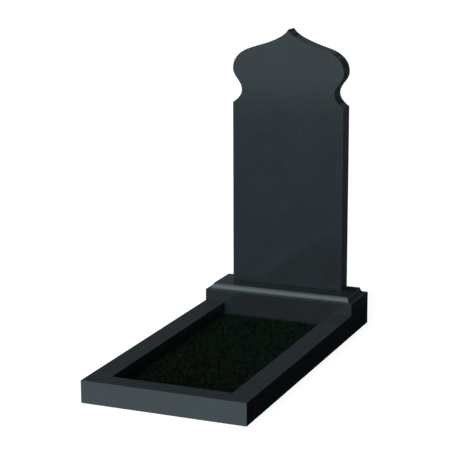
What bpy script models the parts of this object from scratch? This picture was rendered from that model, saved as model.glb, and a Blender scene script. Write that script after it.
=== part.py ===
"""Grave monument: a headstone with a keel-shaped head on a moulded plinth,
and a kerbed bed of turf in front of it. The ground is at z = 0, the kerb's
front faces -Y, and the origin is under the middle of the plot."""

import math

import bmesh
import bpy
from mathutils import Matrix, Vector

# Driving sizes, in metres
plot_width = 0.600
joint = 0.0003  # gap left between stones that touch

kerb_height = 0.080
side_kerb_width = 0.080
front_kerb_width = 0.075
bed_length = 0.975  # from the front kerb to the plinth
turf_height = 0.037

plinth_depth = 0.200
plinth_height = 0.145
cove_radius = 0.021
cove_inset = 0.003  # from the plinth's side to the cove's lower end

stela_width = 0.448
stela_thickness = 0.070
stela_setback = 0.100  # behind the plinth's front face
shoulder_height = 0.708  # above the plinth, as all heights of the stela
neck_rise = 0.050  # from the shoulder to the narrowest place
neck_inset = 0.0365
bulb_rise = 0.082  # from the neck to the widest place, as wide as the shaft
crown_rise = 0.155  # from the widest place to the point

arris = 0.0015  # small rounding of the polished edges
arris_steps = 2
cove_steps = 8
outline_steps = 12  # segments in each length of the stela's outline

# Sizes that follow from them
plot_length = front_kerb_width + bed_length + plinth_depth
front_y = -plot_length / 2
bed_y = front_y + front_kerb_width
plinth_y = bed_y + bed_length
back_y = plinth_y + plinth_depth
half_width = plot_width / 2


def clear_scene():
    for obj in list(bpy.data.objects):
        bpy.data.objects.remove(obj, do_unlink=True)


def new_collection(name):
    collection = bpy.data.collections.new(name)
    bpy.context.scene.collection.children.link(collection)
    return collection


def principled(name, color, roughness):
    material = bpy.data.materials.new(name)
    material.use_nodes = True
    shader = material.node_tree.nodes["Principled BSDF"]
    shader.inputs["Base Color"].default_value = (*color, 1.0)
    shader.inputs["Roughness"].default_value = roughness
    shader.inputs["Metallic"].default_value = 0.0
    material.diffuse_color = (*color, 1.0)
    return material


def box_mesh(low, high):
    """A bmesh box between two corners."""
    bm = bmesh.new()
    size = Vector(high) - Vector(low)
    centre = (Vector(high) + Vector(low)) / 2
    place = Matrix.Translation(centre) @ Matrix.Diagonal((*size, 1.0))
    bmesh.ops.create_cube(bm, size=1.0, matrix=place)
    return bm


def add_object(collection, name, bm, material):
    mesh = bpy.data.meshes.new(name)
    bm.to_mesh(mesh)
    bm.free()
    mesh.materials.append(material)
    obj = bpy.data.objects.new(name, mesh)
    collection.objects.link(obj)
    return obj


def bevel_arrises(obj):
    bevel = obj.modifiers.new("arris", "BEVEL")
    bevel.width = arris
    bevel.segments = arris_steps
    bevel.limit_method = "ANGLE"
    bevel.angle_limit = math.radians(60)


def add_kerb(collection, name, low, high, material):
    bevel_arrises(add_object(collection, name, box_mesh(low, high), material))


def plinth_profile():
    """Steps inward and upward from the top of the plinth's sides to its top face."""
    points = []
    for i in range(arris_steps + 1):
        angle = math.pi / 2 * i / arris_steps
        points.append((arris * (1 - math.cos(angle)), arris * math.sin(angle)))
    for i in range(cove_steps + 1):
        angle = math.pi / 2 * i / cove_steps
        inward = cove_inset + cove_radius * math.sin(angle)
        upward = arris + cove_radius * (1 - math.cos(angle))
        points.append((inward, upward))
    return [(b[0] - a[0], b[1] - a[1]) for a, b in zip(points, points[1:])]


def add_plinth(collection, material):
    """A block whose top is stepped in along the profile, so its corners are mitred."""
    side_height = plinth_height - cove_radius - arris
    bm = box_mesh((-half_width, plinth_y, 0.0), (half_width, back_y, side_height))
    top = max(bm.faces, key=lambda face: face.calc_center_median().z)
    for inward, upward in plinth_profile():
        bmesh.ops.inset_region(
            bm, faces=[top], thickness=inward, depth=upward, use_even_offset=True
        )
    return add_object(collection, "plinth", bm, material)


def stela_outline():
    """Bezier points of the right half, from the foot to the point.

    Each is its place and its two handles, as (across, up) from the middle of
    the foot. The handles of the head are shares of its own sizes.
    """
    half = stela_width / 2
    neck = (half - neck_inset, shoulder_height + neck_rise)
    widest = (half, neck[1] + bulb_rise)
    flank = (neck[0] + 0.54 * (widest[0] - neck[0]), neck[1] + 0.52 * bulb_rise)
    swell = (0.66 * widest[0], widest[1] + 0.53 * crown_rise)
    tip = (0.0, widest[1] + crown_rise)
    lean = 0.13 * bulb_rise
    slope = 0.31 * crown_rise / 0.16
    reach = 0.24 * half

    def along(point, dx, dz):
        return (point[0] + dx, point[1] + dz)

    return [
        ((half, 0.0), None, None),
        (
            (half, shoulder_height),
            None,
            along((half, shoulder_height), -0.5 * neck_inset, 0.24 * neck_rise),
        ),
        (neck, along(neck, 0.0, -0.42 * neck_rise), along(neck, 0.0, 0.22 * bulb_rise)),
        (flank, along(flank, -0.8 * lean, -lean), along(flank, 0.8 * lean, lean)),
        (widest, along(widest, 0.0, -0.2 * bulb_rise), along(widest, 0.0, 0.28 * crown_rise)),
        (
            swell,
            along(swell, 0.75 * reach, -0.75 * reach * slope),
            along(swell, -1.1 * reach, 1.1 * reach * slope),
        ),
        (tip, along(tip, 0.062 * half, -0.2 * crown_rise), None),
    ]


def add_stela(collection, material):
    """The outline as a flat curve, standing up and given its thickness."""
    right = stela_outline()

    def mirrored(handle):
        return None if handle is None else (-handle[0], handle[1])

    left = [((-p[0], p[1]), mirrored(after), mirrored(before)) for p, before, after in right]
    tip_point, tip_before, _ = right[-1]
    tip = (tip_point, tip_before, mirrored(tip_before))
    points = right[:-1] + [tip] + left[-2::-1]

    curve = bpy.data.curves.new("stela", "CURVE")
    curve.dimensions = "2D"
    curve.fill_mode = "BOTH"
    curve.resolution_u = outline_steps
    curve.extrude = stela_thickness / 2 - arris
    curve.bevel_depth = arris
    curve.bevel_resolution = 0
    curve.offset = -arris
    spline = curve.splines.new("BEZIER")
    spline.bezier_points.add(len(points) - 1)
    spline.use_cyclic_u = True
    for bezier, (place, before, after) in zip(spline.bezier_points, points):
        bezier.co = (*place, 0.0)
        bezier.handle_left_type = "VECTOR" if before is None else "FREE"
        bezier.handle_right_type = "VECTOR" if after is None else "FREE"
        if before is not None:
            bezier.handle_left = (*before, 0.0)
        if after is not None:
            bezier.handle_right = (*after, 0.0)
    curve.materials.append(material)
    stela = bpy.data.objects.new("stela", curve)
    stela.location = (
        0.0,
        plinth_y + stela_setback + stela_thickness / 2,
        plinth_height + joint,
    )
    stela.rotation_euler.x = math.pi / 2
    collection.objects.link(stela)
    return stela


def add_kerbs(collection, material):
    add_kerb(
        collection,
        "kerb_front",
        (-half_width, front_y, 0.0),
        (half_width, bed_y - joint, kerb_height),
        material,
    )
    for name, side in (("kerb_left", -1), ("kerb_right", 1)):
        outer = side * half_width
        inner = side * (half_width - side_kerb_width)
        low = (min(outer, inner), bed_y, 0.0)
        high = (max(outer, inner), plinth_y - joint, kerb_height)
        add_kerb(collection, name, low, high, material)


def add_turf(collection, material):
    reach = half_width - side_kerb_width - joint
    low = (-reach, bed_y + joint, 0.0)
    high = (reach, plinth_y - joint, turf_height)
    add_object(collection, "turf", box_mesh(low, high), material)


def main():
    clear_scene()
    monument = new_collection("grave_monument")
    granite = principled("black_granite", (0.030, 0.036, 0.039), 0.12)
    grass = principled("grass", (0.020, 0.045, 0.025), 0.9)
    add_kerbs(monument, granite)
    add_turf(monument, grass)
    add_plinth(monument, granite)
    add_stela(monument, granite)


main()
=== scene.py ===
# Looks of the grave monument: polished black granite round a bed of short grass.
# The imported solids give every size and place; the stones are cut again with finer edges.

import math

import bmesh
import bpy
from mathutils import Matrix, Vector


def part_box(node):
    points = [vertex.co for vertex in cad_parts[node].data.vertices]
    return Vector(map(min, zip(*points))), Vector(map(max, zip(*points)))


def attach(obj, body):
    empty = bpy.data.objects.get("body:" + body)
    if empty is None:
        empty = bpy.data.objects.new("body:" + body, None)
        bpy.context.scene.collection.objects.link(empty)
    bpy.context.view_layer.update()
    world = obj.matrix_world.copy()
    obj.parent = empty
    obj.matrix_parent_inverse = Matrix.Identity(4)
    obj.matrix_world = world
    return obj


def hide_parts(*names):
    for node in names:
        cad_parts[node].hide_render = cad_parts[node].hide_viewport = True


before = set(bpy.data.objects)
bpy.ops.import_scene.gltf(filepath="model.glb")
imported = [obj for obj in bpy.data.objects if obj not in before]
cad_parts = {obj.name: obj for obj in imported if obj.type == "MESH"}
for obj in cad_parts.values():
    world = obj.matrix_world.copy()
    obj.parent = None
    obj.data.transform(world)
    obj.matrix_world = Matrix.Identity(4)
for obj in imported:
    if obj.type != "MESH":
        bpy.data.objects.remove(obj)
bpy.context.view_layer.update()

scene = bpy.context.scene
scene.view_settings.view_transform = "Standard"


# Objects and meshes


def addObject(name, data):
    obj = bpy.data.objects.new(name, data)
    scene.collection.objects.link(obj)
    return obj


def meshOf(bm, name):
    mesh = bpy.data.meshes.new(name)
    bm.to_mesh(mesh)
    bm.free()
    return mesh


def evaluatedMesh(obj):
    # what the object's curve or modifiers make
    bpy.context.view_layer.update()
    graph = bpy.context.evaluated_depsgraph_get()
    return bpy.data.meshes.new_from_object(obj.evaluated_get(graph))


# Camera

cameraSet = {
    "focalPixels": 1636.52,  # for a picture 453 pixels wide
    "pictureWidth": 453,
    "sensorWidth": 36.0,
    "farthest": 200.0,  # metres that it sees
    "place": (2.17464, -5.23019, 1.85754),
    "turn": 0.399168,  # to the left of +Y, radians
    "dip": 0.235745,  # below the horizon
    "roll": 0.0036195,
}


def makeCamera():
    c = cameraSet
    data = bpy.data.cameras.new("camera")
    data.sensor_width = c["sensorWidth"]
    data.lens = c["focalPixels"] / c["pictureWidth"] * data.sensor_width
    data.clip_end = c["farthest"]
    camera = addObject("camera", data)
    turned = Matrix.Rotation(c["turn"], 4, "Z")
    tipped = Matrix.Rotation(math.pi / 2 - c["dip"], 4, "X")
    rolled = Matrix.Rotation(-c["roll"], 4, "Z")
    camera.matrix_world = Matrix.Translation(c["place"]) @ turned @ tipped @ rolled
    scene.camera = camera


# Shader wiring


def opaque(color):
    return (*color, 1.0)


class Wire:
    # a node's output that Python's operators work on, adding Math nodes
    def __init__(self, tree, socket=None):
        self.tree = tree
        self.socket = socket

    def node(self, kind, settings=None, links=None, out=0):
        made = self.tree.nodes.new(kind)
        for name, value in (settings or {}).items():
            if name == "stops":
                ramp = made.color_ramp.elements
                while len(ramp) < len(value):
                    ramp.new(0.5)
                for stop, (place, color) in zip(ramp, value):
                    stop.position = place
                    stop.color = opaque(color)
            else:
                setattr(made, name, value)
        for key, value in (links or {}).items():
            if isinstance(value, Wire):
                self.tree.links.new(value.socket, made.inputs[key])
            else:
                made.inputs[key].default_value = value
        return Wire(self.tree, made.outputs[out])

    def output(self, index):
        # another output of the same node
        return Wire(self.tree, self.socket.node.outputs[index])

    def math(self, operation, *values):
        settings = {"operation": operation}
        return self.node("ShaderNodeMath", settings, dict(enumerate(values)))

    def __add__(self, other):
        return self.math("ADD", self, other)

    def __radd__(self, other):
        return self.math("ADD", other, self)

    def __sub__(self, other):
        return self.math("SUBTRACT", self, other)

    def __rsub__(self, other):
        return self.math("SUBTRACT", other, self)

    def __mul__(self, other):
        return self.math("MULTIPLY", self, other)

    def __rmul__(self, other):
        return self.math("MULTIPLY", other, self)

    def clamped(self, low, high, toLow=0.0, toHigh=1.0):
        limits = {"From Min": low, "From Max": high, "To Min": toLow, "To Max": toHigh}
        settings = {"interpolation_type": "SMOOTHSTEP"}
        return self.node("ShaderNodeMapRange", settings, {"Value": self, **limits})

    def mixed(self, first, second, share=None, blend="MIX"):
        # first where this wire is 0, second where it is 1; a Mix node takes its colours
        # at inputs 6 and 7 and gives the mixed one at output 2
        settings = {"data_type": "RGBA", "blend_type": blend}
        colors = {6: first, 7: second}
        factor = self if share is None else share
        return self.node("ShaderNodeMix", settings, {0: factor, **colors}, out=2)


def newMaterial(name):
    material = bpy.data.materials.new(name)
    material.use_nodes = True
    tree = material.node_tree
    shader = tree.nodes["Principled BSDF"]
    return material, Wire(tree), shader


def plug(wire, shader, socket):
    wire.tree.links.new(wire.socket, shader.inputs[socket])


# Granite

graniteSet = {
    "ground": (0.0131, 0.0162, 0.0185),  # the fine dark mass
    "grain": (0.0200, 0.0240, 0.0272),  # paler crystals
    "fleck": (0.0420, 0.0500, 0.0540),  # few and bright
    "shine": (0.78, 1.00, 1.05),  # tint of what the polish mirrors
    "crystals": 620.0,  # to the metre
    "crystalRange": (0.35, 1.0),  # chances from dark ground to full grain
    "flecks": 900.0,
    "fleckRange": (0.955, 0.985),
    "clouds": 9.0,
    "cloudRange": (0.3, 0.7),
    "cloudDetail": 4.0,
    "cloudRoughness": 0.6,
    "cloudStrength": 0.06,
    "roughness": 0.075,
    "roughnessSpread": 0.02,
}

# what each finish changes in graniteSet
finishSet = {
    "polished": {},
    "polishedPale": {
        "ground": (0.0150, 0.0187, 0.0214),
        "grain": (0.0228, 0.0276, 0.0314),
    },
    "satin": {"roughness": 0.34},
    "dull": {"roughness": 0.5},
    "honedPaintedSheen": {  # as a profile wheel leaves it, less glossy; its paler colour is painted sheen for the light that the plinth's front cove catches
        "ground": (0.0430, 0.0512, 0.0553),
        "grain": (0.0616, 0.0740, 0.0782),
        "roughness": 0.35,
    },
}


# each stone is cut from its own block, so each has its own shift of the pattern
blockShift = {
    "kerbFront": (0.0, 1.1, 0.0),
    "kerbLeft": (0.37, 1.1, 0.0),
    "kerbRight": (0.74, 1.1, 0.0),
    "plinth": (2.3, 0.4, 0.9),
    "stela": (4.1, 2.7, 0.3),
}


def makeGranite(name, shift, finish="polished"):
    g = {**graniteSet, **finishSet[finish]}
    material, wire, shader = newMaterial(name)
    place = wire.node("ShaderNodeTexCoord", out=3)
    place = wire.node("ShaderNodeMapping", links={"Vector": place, "Location": shift})

    def cells(scale, channel):
        # a random value for each cell, from a channel of its random colour
        links = {"Vector": place, "Scale": scale}
        color = wire.node("ShaderNodeTexVoronoi", links=links, out=1)
        return wire.node("ShaderNodeSeparateColor", links={0: color}, out=channel)

    crystal = cells(g["crystals"], 0)
    fleck = cells(g["flecks"], 1)
    cloudLinks = {
        "Vector": place,
        "Scale": g["clouds"],
        "Detail": g["cloudDetail"],
        "Roughness": g["cloudRoughness"],
    }
    cloud = wire.node("ShaderNodeTexNoise", links=cloudLinks)

    color = crystal.clamped(*g["crystalRange"]).mixed(opaque(g["ground"]), opaque(g["grain"]))
    color = fleck.clamped(*g["fleckRange"]).mixed(color, opaque(g["fleck"]))
    limits = (1 - g["cloudStrength"], 1 + g["cloudStrength"])
    shade = cloud.clamped(*g["cloudRange"], *limits)
    grey = wire.node("ShaderNodeCombineColor", links={0: shade, 1: shade, 2: shade})
    plug(wire.mixed(color, grey, share=1.0, blend="MULTIPLY"), shader, "Base Color")

    roughness = g["roughness"] + g["roughnessSpread"] * (crystal - 0.5)
    plug(roughness, shader, "Roughness")
    shader.inputs["Specular Tint"].default_value = opaque(g["shine"])
    return material


# Stones

stoneSet = {
    "arris": 0.0006,  # rounding of every edge
    "corner": 0.0006,  # rounding of the upright corners
    "steps": 4,
    "sharpFrom": 32.0,  # degrees from which an edge stays sharp
}

plinthSet = {
    "coveRadius": 0.021,
    "coveInset": 0.003,  # from the plinth's side to the cove's lower end
    "coveSteps": 24,
    "smoothSteps": 9,  # of the cove's steps, counted from its foot
}


def quarterRound(radius, steps):
    # from an upright side over to a level top: inward and upward steps
    turns = [math.pi / 2 * i / steps for i in range(steps + 1)]
    return [(radius * (1 - math.cos(t)), radius * math.sin(t)) for t in turns]


def kerbProfile(height):
    arris = stoneSet["arris"]
    rounding = quarterRound(arris, stoneSet["steps"])
    return [(0.0, 0.0)] + [(inward, height - arris + up) for inward, up in rounding]


def plinthProfile(height):
    # side, ledge and cove, and the top arris cut back into the cove's upper end
    arris = stoneSet["arris"]
    radius = plinthSet["coveRadius"]
    ledge = height - radius
    points = [(0.0, 0.0)]
    rounding = quarterRound(arris, stoneSet["steps"])
    points += [(inward, ledge - arris + up) for inward, up in rounding]
    for i in range(plinthSet["coveSteps"] + 1):
        turn = math.pi / 2 * i / plinthSet["coveSteps"]
        inward = plinthSet["coveInset"] + radius * math.sin(turn)
        up = radius * (1 - math.cos(turn))
        points.append((inward, min(ledge + up, height - arris)))
    edge = points[-1][0]
    return points + [(edge + inward, height - arris + up) for inward, up in rounding[1:]]


def roundedRectangle(low, high, inset, radius, steps):
    # points of a rectangle with round corners, anticlockwise from above
    corners = [
        (high.x, high.y, 0),
        (low.x, high.y, 1),
        (low.x, low.y, 2),
        (high.x, low.y, 3),
    ]
    points = []
    for x, y, quarter in corners:
        towardsX = -1 if x == high.x else 1
        towardsY = -1 if y == high.y else 1
        centreX = x + towardsX * (inset + radius)
        centreY = y + towardsY * (inset + radius)
        for i in range(steps + 1):
            turn = math.pi / 2 * (quarter + i / steps)
            across, along = radius * math.cos(turn), radius * math.sin(turn)
            points.append((centreX + across, centreY + along))
    return points


def finishStone(obj, node, materials):
    for material in materials:
        obj.data.materials.append(material)
    # large faces keep flat shading and the rounded edges turn smoothly between them
    obj.data.shade_smooth()
    obj.data.set_sharp_from_angle(angle=math.radians(stoneSet["sharpFrom"]))
    weighted = obj.modifiers.new("weighted", "WEIGHTED_NORMAL")
    weighted.mode = "FACE_AREA"
    weighted.weight = 100
    weighted.keep_sharp = True
    mesh = evaluatedMesh(obj)
    obj.modifiers.clear()
    obj.data = mesh
    mesh.name = obj.name
    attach(obj, "root")
    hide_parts(node)


def makeBlock(name, node, profile, materials, top=0, front=()):
    # loops of a rounded rectangle, one for each point of the profile, closed below and above;
    # top and front say which material the top and each step of the front side have
    low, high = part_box(node)
    bm = bmesh.new()
    loops = []
    for inward, z in profile:
        outline = roundedRectangle(low, high, inward, stoneSet["corner"], stoneSet["steps"])
        loops.append([bm.verts.new((x, y, low.z + z)) for x, y in outline])
    count = len(loops[0])
    for level, (lower, upper) in enumerate(zip(loops, loops[1:])):
        for i in range(count):
            j = (i + 1) % count
            side = bm.faces.new((lower[i], lower[j], upper[j], upper[i]))
            middle = (lower[i].co + lower[j].co) / 2
            others = (low.x - middle.x, middle.x - high.x, middle.y - high.y)
            facesFront = low.y - middle.y > max(others)
            if facesFront and level < len(front):
                side.material_index = front[level]
    bm.faces.new(loops[0][::-1])
    bm.faces.new(loops[-1]).material_index = top
    finishStone(addObject(name, meshOf(bm, name)), node, materials)


def makeKerb(side):
    node = "kerb_" + side.lower()
    low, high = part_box(node)
    shift = blockShift["kerb" + side]
    polished = makeGranite("graniteKerb" + side, shift)
    satin = makeGranite("graniteKerbTop" + side, shift, "satin")
    makeBlock("kerbStone" + side, node, kerbProfile(high.z - low.z), [polished, satin], top=1)


def makePlinth():
    low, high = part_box("plinth")
    shift = blockShift["plinth"]
    polished = makeGranite("granitePlinth", shift)
    honedPaintedSheen = makeGranite("granitePlinthCovePaintedSheen", shift, "honedPaintedSheen")
    dull = makeGranite("granitePlinthLedge", shift, "dull")
    # steps of the front, from the ground up: side, ledge with the cove's foot, cove
    side = stoneSet["steps"] + 1
    ledge = 1 + plinthSet["smoothSteps"]
    cove = plinthSet["coveSteps"] - plinthSet["smoothSteps"]
    # only the front cove takes the paler honed colour, a painted sheen for the light it catches;
    # the side and back coves stay polished
    front = [0] * side + [2] * ledge + [1] * cove
    profile = plinthProfile(high.z - low.z)
    makeBlock("plinthStone", "plinth", profile, [polished, honedPaintedSheen, dull], front=front)


# Stela

stelaSet = {
    "shoulder": 0.708,  # heights above the foot
    "neckRise": 0.050,
    "neckInset": 0.0365,
    "bulbRise": 0.082,
    # where the flank and the swell lie, as shares of the head's sizes across and up
    "flank": (0.54, 0.52),
    "swell": (0.66, 0.53),
    # handles of the outline's points, as shares of the same sizes
    "shoulderAfter": (-0.5, 0.24),
    "neckBefore": 0.42,
    "neckAfter": 0.22,
    "flankLean": 0.13,
    "flankAcross": 0.8,
    "widestBefore": 0.2,
    "widestAfter": 0.28,
    "swellReach": 0.24,
    "swellRise": 0.31,
    "swellRun": 0.16,
    "swellBefore": 0.75,
    "swellAfter": 1.1,
    "tipBefore": (0.062, -0.2),
    "steps": 40,  # in each length of the outline
    "arrisSteps": 2,
    "mergeWithin": 0.00002,
    "flatWithin": 0.05,  # degrees
}


def stelaOutline(half, height):
    s = stelaSet
    neck = Vector((half - s["neckInset"], s["shoulder"] + s["neckRise"]))
    widest = Vector((half, neck.y + s["bulbRise"]))
    crown = height - widest.y
    across, up = s["flank"]
    flank = Vector((neck.x + across * (widest.x - neck.x), neck.y + up * s["bulbRise"]))
    across, up = s["swell"]
    swell = Vector((across * widest.x, widest.y + up * crown))
    tip = Vector((0.0, height))
    shoulder = Vector((half, s["shoulder"]))
    lean = s["flankLean"] * s["bulbRise"] * Vector((s["flankAcross"], 1.0))
    slope = s["swellRise"] * crown / s["swellRun"]
    reach = s["swellReach"] * half * Vector((-1.0, slope))

    across, up = s["shoulderAfter"]
    shoulderOut = Vector((across * s["neckInset"], up * s["neckRise"]))
    neckIn = Vector((0, s["neckBefore"] * s["neckRise"]))
    neckOut = Vector((0, s["neckAfter"] * s["bulbRise"]))
    widestIn = Vector((0, s["widestBefore"] * s["bulbRise"]))
    widestOut = Vector((0, s["widestAfter"] * crown))
    across, up = s["tipBefore"]
    tipIn = Vector((across * half, up * crown))
    # each point with the handles before and after it
    return [
        (Vector((half, 0.0)), None, None),
        (shoulder, None, shoulder + shoulderOut),
        (neck, neck - neckIn, neck + neckOut),
        (flank, flank - lean, flank + lean),
        (widest, widest - widestIn, widest + widestOut),
        (swell, swell - s["swellBefore"] * reach, swell + s["swellAfter"] * reach),
        (tip, tip + tipIn, None),
    ]


def makeStela():
    s = stelaSet
    low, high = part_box("stela")
    arris = stoneSet["arris"]
    right = stelaOutline((high.x - low.x) / 2, high.z - low.z)

    def mirrored(point):
        return None if point is None else Vector((-point.x, point.y))

    left = [(mirrored(p), mirrored(after), mirrored(before)) for p, before, after in right[-2::-1]]
    tip, before, _ = right[-1]
    points = right[:-1] + [(tip, before, mirrored(before))] + left

    curve = bpy.data.curves.new("stelaOutline", "CURVE")
    curve.dimensions = "2D"
    curve.fill_mode = "BOTH"
    curve.resolution_u = s["steps"]
    curve.extrude = (high.y - low.y) / 2 - arris
    curve.bevel_depth = arris
    curve.bevel_resolution = s["arrisSteps"]
    curve.offset = -arris
    spline = curve.splines.new("BEZIER")
    spline.bezier_points.add(len(points) - 1)
    spline.use_cyclic_u = True
    for bezier, (place, before, after) in zip(spline.bezier_points, points):
        bezier.co = (*place, 0.0)
        bezier.handle_left_type = "VECTOR" if before is None else "FREE"
        bezier.handle_right_type = "VECTOR" if after is None else "FREE"
        if before is not None:
            bezier.handle_left = (*before, 0.0)
        if after is not None:
            bezier.handle_right = (*after, 0.0)
    drawn = addObject("stelaOutline", curve)
    mesh = evaluatedMesh(drawn)
    bpy.data.objects.remove(drawn)

    place = Matrix.Translation((0, (low.y + high.y) / 2, low.z))
    mesh.transform(place @ Matrix.Rotation(math.pi / 2, 4, "X"))
    bm = bmesh.new()
    bm.from_mesh(mesh)
    bmesh.ops.remove_doubles(bm, verts=bm.verts, dist=s["mergeWithin"])
    flat = math.radians(s["flatWithin"])
    bmesh.ops.dissolve_limit(bm, angle_limit=flat, verts=bm.verts, edges=bm.edges)
    bmesh.ops.recalc_face_normals(bm, faces=bm.faces)
    bm.to_mesh(mesh)
    bm.free()
    material = makeGranite("graniteStela", blockShift["stela"], "polishedPale")
    finishStone(addObject("stelaStone", mesh), "stela", [material])


# Bed

soilSet = {
    "height": 0.025,
    "bumps": 0.001,
    "waves": ((131, 2, 57), (113, 3, 71)),  # how fine each is, its swing and how fine that is
    "grid": (60, 130),
    "sharpFrom": 50.0,  # degrees
    "dark": (0.0035, 0.004, 0.003),
    "pale": (0.012, 0.012, 0.008),
    "colorRange": (0.35, 0.7),
    "clods": 160.0,  # to the metre
    "detail": 6.0,
    "roughness": 0.95,
    "relief": 0.6,
    "reliefHeight": 0.003,
}


def makeSoil(material):
    g = soilSet
    low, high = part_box("turf")
    columns, rows = g["grid"]
    bm = bmesh.new()
    bmesh.ops.create_grid(bm, x_segments=columns, y_segments=rows, size=0.5)
    size = high - low

    def wave(along, across, fine, swing, swingFine):
        return math.sin(along * fine + swing * math.sin(across * swingFine))

    for vert in bm.verts:
        x = vert.co.x * size.x + (low.x + high.x) / 2
        y = vert.co.y * size.y + (low.y + high.y) / 2
        bump = wave(x, y, *g["waves"][0]) + wave(y, x, *g["waves"][1])
        vert.co = (x, y, g["height"] + g["bumps"] * bump)
    rim = bmesh.ops.extrude_edge_only(bm, edges=[e for e in bm.edges if e.is_boundary])
    lower = [v for v in rim["geom"] if isinstance(v, bmesh.types.BMVert)]
    for vert in lower:
        vert.co.z = low.z
    bmesh.ops.contextual_create(bm, geom=[e for e in bm.edges if e.is_boundary])
    bmesh.ops.recalc_face_normals(bm, faces=bm.faces)
    mesh = meshOf(bm, "soil")
    mesh.set_sharp_from_angle(angle=math.radians(g["sharpFrom"]))
    mesh.materials.append(material)
    obj = addObject("soil", mesh)
    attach(obj, "root")


def makeSoilMaterial():
    g = soilSet
    material, wire, shader = newMaterial("darkSoil")
    place = wire.node("ShaderNodeTexCoord", out=3)
    links = {"Vector": place, "Scale": g["clods"], "Detail": g["detail"]}
    noise = wire.node("ShaderNodeTexNoise", links=links)
    color = noise.clamped(*g["colorRange"]).mixed(opaque(g["dark"]), opaque(g["pale"]))
    plug(color, shader, "Base Color")
    shader.inputs["Roughness"].default_value = g["roughness"]
    relief = {"Strength": g["relief"], "Distance": g["reliefHeight"], "Height": noise}
    plug(wire.node("ShaderNodeBump", links=relief), shader, "Normal")
    return material


bladeSet = {
    "length": 0.021,
    "width": 0.0026,
    "bend": 0.010,
    "rows": 4,  # points along a blade
    "taper": 0.85,  # share of the width lost at the tip
    "droop": 0.22,  # share of the length lost to its arch
    "perSquareMetre": 66000.0,
    "leastSize": (0.6, 0.5, 0.62),  # factors on width, bend and length
    "mostSize": (1.25, 1.5, 1.18),
    "lean": 0.55,  # radians either way
    "rootDepth": 0.002,  # below the soil's mean height
    "margin": 0.006,  # by which the planted plan is narrower and shorter
    "clear": 0.0006,  # kept from the stones round the bed
    "seed": 11,
    "sizeSeed": 3,
    "tintSeed": 7,
}


def grassTree(material):
    # blades scattered over the mesh that the modifier is on
    b = bladeSet
    tree = bpy.data.node_groups.new("grassBlades", "GeometryNodeTree")
    face = tree.interface
    face.new_socket("Geometry", in_out="INPUT", socket_type="NodeSocketGeometry")
    inputs = {}
    for name in ("Length", "Width", "Bend", "Density", "Reach X", "Reach Y"):
        inputs[name] = face.new_socket(name, in_out="INPUT", socket_type="NodeSocketFloat")
    inputs["Seed"] = face.new_socket("Seed", in_out="INPUT", socket_type="NodeSocketInt")
    face.new_socket("Geometry", in_out="OUTPUT", socket_type="NodeSocketGeometry")
    wire = Wire(tree)
    group = tree.nodes.new("NodeGroupInput")

    def given(name):
        return Wire(tree, group.outputs[name])

    # one blade, 1 long and 1 wide, drawn out of a strip
    grid = {"Size X": 1.0, "Size Y": 1.0, "Vertices X": 2, "Vertices Y": b["rows"]}
    strip = wire.node("GeometryNodeMeshGrid", links=grid)
    place = wire.node("GeometryNodeInputPosition")
    across = wire.node("ShaderNodeSeparateXYZ", links={0: place})
    along = across.output(1) + 0.5
    taper = 1.0 - b["taper"] * along * along
    rise = along * (1.0 - b["droop"] * along)
    bladeX = across * taper * given("Width")
    bladeY = along * along * given("Bend")
    bladeZ = rise * given("Length")
    bladePlace = wire.node("ShaderNodeCombineXYZ", links={0: bladeX, 1: bladeY, 2: bladeZ})
    shaped = {"Geometry": strip, "Position": bladePlace}
    blade = wire.node("GeometryNodeSetPosition", links=shaped)

    scatter = {"Mesh": given("Geometry"), "Density": given("Density"), "Seed": given("Seed")}
    points = wire.node("GeometryNodeDistributePointsOnFaces", links=scatter)
    # a Random Value node takes vectors at inputs 0 and 1 and numbers at 2 and 3
    spread = {"data_type": "FLOAT_VECTOR"}
    lean = b["lean"]
    turns = {0: (-lean, -lean, 0.0), 1: (lean, lean, 2 * math.pi), "Seed": given("Seed")}
    turn = wire.node("FunctionNodeRandomValue", spread, turns)
    sizes = {0: b["leastSize"], 1: b["mostSize"], "Seed": b["sizeSeed"]}
    size = wire.node("FunctionNodeRandomValue", spread, sizes)
    planting = {"Points": points, "Instance": blade, "Rotation": turn, "Scale": size}
    placed = wire.node("GeometryNodeInstanceOnPoints", links=planting)
    tints = {2: 0.0, 3: 1.0, "Seed": b["tintSeed"]}
    tint = wire.node("FunctionNodeRandomValue", {"data_type": "FLOAT"}, tints, out=1)
    perBlade = {"data_type": "FLOAT", "domain": "INSTANCE"}
    tinted = {"Geometry": placed, "Name": "tint", "Value": tint}
    stored = wire.node("GeometryNodeStoreNamedAttribute", perBlade, tinted)
    real = wire.node("GeometryNodeRealizeInstances", links={"Geometry": stored})

    # blades that lean on a stone are pressed against it
    def pressed(value, reach):
        return wire.math("MINIMUM", wire.math("MAXIMUM", value, 0.0 - reach), reach)

    where = wire.node("ShaderNodeSeparateXYZ", links={0: place})
    x = pressed(where, given("Reach X"))
    y = pressed(where.output(1), given("Reach Y"))
    held = wire.node("ShaderNodeCombineXYZ", links={0: x, 1: y, 2: where.output(2)})
    real = wire.node("GeometryNodeSetPosition", links={"Geometry": real, "Position": held})
    painted = wire.node("GeometryNodeSetMaterial", links={"Geometry": real, "Material": material})
    output = tree.nodes.new("NodeGroupOutput")
    tree.links.new(painted.socket, output.inputs[0])
    return tree, {name: socket.identifier for name, socket in inputs.items()}


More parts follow.
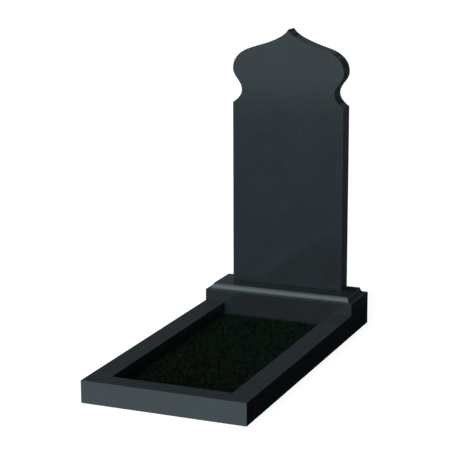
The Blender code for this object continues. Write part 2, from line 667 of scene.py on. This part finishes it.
def makeGrass(material):
    b = bladeSet
    low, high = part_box("turf")
    centre = (low + high) / 2
    width = high.x - low.x - b["margin"]
    length = high.y - low.y - b["margin"]
    bm = bmesh.new()
    bmesh.ops.create_grid(bm, x_segments=1, y_segments=1, size=0.5)
    for vert in bm.verts:
        vert.co = (vert.co.x * width, vert.co.y * length, 0.0)
    obj = addObject("grass", meshOf(bm, "bedPlan"))
    tree, identifiers = grassTree(material)
    blades = obj.modifiers.new("blades", "NODES")
    blades.node_group = tree
    values = {
        "Length": b["length"],
        "Width": b["width"],
        "Bend": b["bend"],
        "Density": b["perSquareMetre"],
        "Reach X": (high.x - low.x) / 2 - b["clear"],
        "Reach Y": (high.y - low.y) / 2 - b["clear"],
        "Seed": b["seed"],
    }
    for name, value in values.items():
        blades[identifiers[name]] = value
    grown = evaluatedMesh(obj)
    obj.modifiers.clear()
    obj.data = grown
    root = soilSet["height"] - b["rootDepth"]
    grown.transform(Matrix.Translation((centre.x, centre.y, root)))
    grown.shade_smooth()
    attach(obj, "root")
    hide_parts("turf")
    print("grass:", len(grown.polygons), "faces")


grassSet = {
    "dark": (0.0034, 0.0050, 0.0042),
    "green": (0.0092, 0.0168, 0.0102),
    "blueGreen": (0.0032, 0.0165, 0.0112),
    "yellowGreen": (0.0125, 0.0200, 0.0080),
    "tufts": 60.0,  # to the metre
    "tuftRange": (0.4, 0.6),
    "patches": 7.0,
    "patchRange": (0.48, 0.64),
    "patchStrength": 0.6,
    "fresher": 0.22,  # added to the patches for each metre towards the plinth
    "yellowRange": (0.86, 0.98),
    "detail": 2.0,
    "roughness": 0.85,
}


def makeGrassMaterial():
    g = grassSet
    material, wire, shader = newMaterial("lawnGrass")
    place = wire.node("ShaderNodeTexCoord", out=3)
    tint = wire.node("ShaderNodeAttribute", {"attribute_name": "tint"}, out=2)

    def noise(scale):
        links = {"Vector": place, "Scale": scale, "Detail": g["detail"]}
        return wire.node("ShaderNodeTexNoise", links=links)

    tuft = noise(g["tufts"]).clamped(*g["tuftRange"])
    back = wire.node("ShaderNodeSeparateXYZ", links={0: place}, out=1)
    patch = (noise(g["patches"]) + g["fresher"] * back).clamped(*g["patchRange"])
    color = tuft.mixed(opaque(g["dark"]), opaque(g["green"]))
    color = (patch * g["patchStrength"]).mixed(color, opaque(g["blueGreen"]))
    color = tint.clamped(*g["yellowRange"]).mixed(color, opaque(g["yellowGreen"]))
    plug(color, shader, "Base Color")
    shader.inputs["Roughness"].default_value = g["roughness"]
    shader.inputs["Specular IOR Level"].default_value = 0.0
    return material


# Floor and light

wholeHeight = (-1.0, -0.9)  # sines of heights, for a box that is full at every height

lightSet = {
    # soft boxes: where each is, the cosines of the angles where it ends and is full,
    # the sines of the heights where it begins and is full, and its light
    "boxes": [
        ((-0.30, -0.80, 0.52), (0.70, 0.85), (0.30, 0.38), (1.90, 2.00, 2.03)),
        ((-0.60, 0.06, 0.80), (0.93, 0.965), wholeHeight, (1.9, 2.0, 2.1)),
        # one behind at the left and a weak one at the right, for the back of the stones
        ((-0.85, 0.50, 0.12), (0.90, 0.96), wholeHeight, (1.35, 1.45, 1.5)),
        ((0.80, 0.60, 0.00), (0.86, 0.95), wholeHeight, (0.14, 0.17, 0.18)),
        # small dark flats and faint glows behind, which the stones' edges mirror
        ((0.33, 0.92, 0.16), (0.985, 0.995), wholeHeight, (0.038, 0.045, 0.048)),
        ((-0.19, 0.93, 0.313), (0.9972, 0.9992), wholeHeight, (0.10, 0.115, 0.12)),
        ((-0.10, 0.93, 0.335), (0.9965, 0.9990), wholeHeight, (0.10, 0.115, 0.12)),
        ((0.09, 0.93, 0.325), (0.9968, 0.9990), wholeHeight, (0.10, 0.115, 0.12)),
        ((-0.305, 0.915, 0.265), (0.9984, 0.9993), wholeHeight, (0.0, 0.0, 0.0)),
        ((-0.15, 0.90, -0.42), (0.89, 0.94), wholeHeight, (0.036, 0.046, 0.050)),
    ],
    # sine of a direction's height above the horizon, and its light
    "frontLevels": [
        (-1.0, 0.8),
        (-0.36, 1.22),
        (-0.300, 1.22),
        (-0.290, 0.07),
        (-0.268, 0.07),
        (-0.253, 0.07),
        (-0.224, 0.10),
        (-0.194, 0.15),
        (-0.170, 0.19),
        (-0.162, 0.17),
        (-0.150, 0.76),
        (-0.02, 0.75),
        (0.10, 0.12),
        (1.0, 0.12),
    ],
    "backLevels": [
        (-1.0, 0.006),
        (-0.278, 0.006),
        (-0.268, 0.05),
        (-0.17, 0.08),
        (0.0, 0.10),
        (0.2685, 0.16),
        (0.2715, 0.02),
        (1.0, 0.02),
    ],
    "frontTint": (0.95, 1.00, 1.02),
    "backTint": (0.80, 1.00, 1.08),
    "behind": (0.39, 0.92),  # heading in x and y of what is behind the monument
    "turnRange": (0.1, 0.6),  # how the light behind passes into the light in front
    "most": 3.0,  # the brightest level that the colours can carry
    # one soft lamp low in front, kept out of what the polish mirrors
    "lampAim": (0.04, -0.96, 0.26),
    "lampSpread": 0.335,  # radians across
    "lampStrength": 1.95,
    "lampTint": (0.962, 0.992, 1.0),
}


floorSet = {
    "reach": 60.0,
    "color": (0.35, 0.35, 0.35),
    "roughness": 0.9,
    "glow": 0.85,  # lifts the floor to the pale ground of the picture
}


def makeFloor():
    bm = bmesh.new()
    bmesh.ops.create_grid(bm, x_segments=1, y_segments=1, size=floorSet["reach"])
    floor = addObject("floor", meshOf(bm, "floor"))
    material, _, shader = newMaterial("paleFloor")
    shader.inputs["Base Color"].default_value = opaque(floorSet["color"])
    shader.inputs["Roughness"].default_value = floorSet["roughness"]
    shader.inputs["Specular IOR Level"].default_value = 0.0
    shader.inputs["Emission Color"].default_value = opaque((1.0, 1.0, 1.0))
    shader.inputs["Emission Strength"].default_value = floorSet["glow"]
    floor.data.materials.append(material)
    floor.visible_glossy = False
    floor.visible_diffuse = False


def makeLamp():
    s = lightSet
    data = bpy.data.lights.new("lowFront", "SUN")
    data.energy = s["lampStrength"]
    data.angle = s["lampSpread"]
    data.color = s["lampTint"]
    lamp = addObject("lowFront", data)
    lamp.rotation_euler = Vector(s["lampAim"]).to_track_quat("Z", "Y").to_euler()
    lamp.visible_glossy = False


def makeWorld():
    # a studio of soft light: boxes in front, at the left and behind, levels of light that
    # change with the height, and a plain white that only the camera sees
    s = lightSet
    world = bpy.data.worlds.new("studio")
    scene.world = world
    world.use_nodes = True
    tree = world.node_tree
    tree.nodes.clear()
    wire = Wire(tree)
    direction = wire.node("ShaderNodeTexCoord")
    x = wire.node("ShaderNodeSeparateXYZ", links={0: direction})
    y, height = x.output(1), x.output(2)

    def sky(side):
        stops = []
        for sine, level in s[side + "Levels"]:
            color = [level / s["most"] * tint for tint in s[side + "Tint"]]
            stops.append(((sine + 1) / 2, color))
        return wire.node("ShaderNodeValToRGB", {"stops": stops}, {0: 0.5 * height + 0.5})

    behindX, behindY = s["behind"]
    inFront = (behindX * x + behindY * y) * -1.0
    color = inFront.clamped(*s["turnRange"]).mixed(sky("back"), sky("front"))
    for aim, edge, foot, light in s["boxes"]:
        pair = {0: direction, 1: Vector(aim).normalized()}
        near = wire.node("ShaderNodeVectorMath", {"operation": "DOT_PRODUCT"}, pair, out=1)
        inside = near.clamped(*edge) * height.clamped(*foot)
        color = inside.mixed(color, opaque([part / s["most"] for part in light]))
    lit = wire.node("ShaderNodeBackground", links={"Color": color, "Strength": s["most"]})
    white = {"Color": opaque((1.0, 1.0, 1.0)), "Strength": 1.0}
    seen = wire.node("ShaderNodeBackground", links=white)
    camera = wire.node("ShaderNodeLightPath")
    mixed = wire.node("ShaderNodeMixShader", links={0: camera, 1: lit, 2: seen})
    output = tree.nodes.new("ShaderNodeOutputWorld")
    tree.links.new(mixed.socket, output.inputs["Surface"])


makeCamera()
makeWorld()
makeLamp()
makeFloor()
print("camera, floor and light made")

for side in ("Front", "Left", "Right"):
    makeKerb(side)
makePlinth()
makeStela()
print("stones cut")

makeSoil(makeSoilMaterial())
makeGrass(makeGrassMaterial())
print("bed grown")
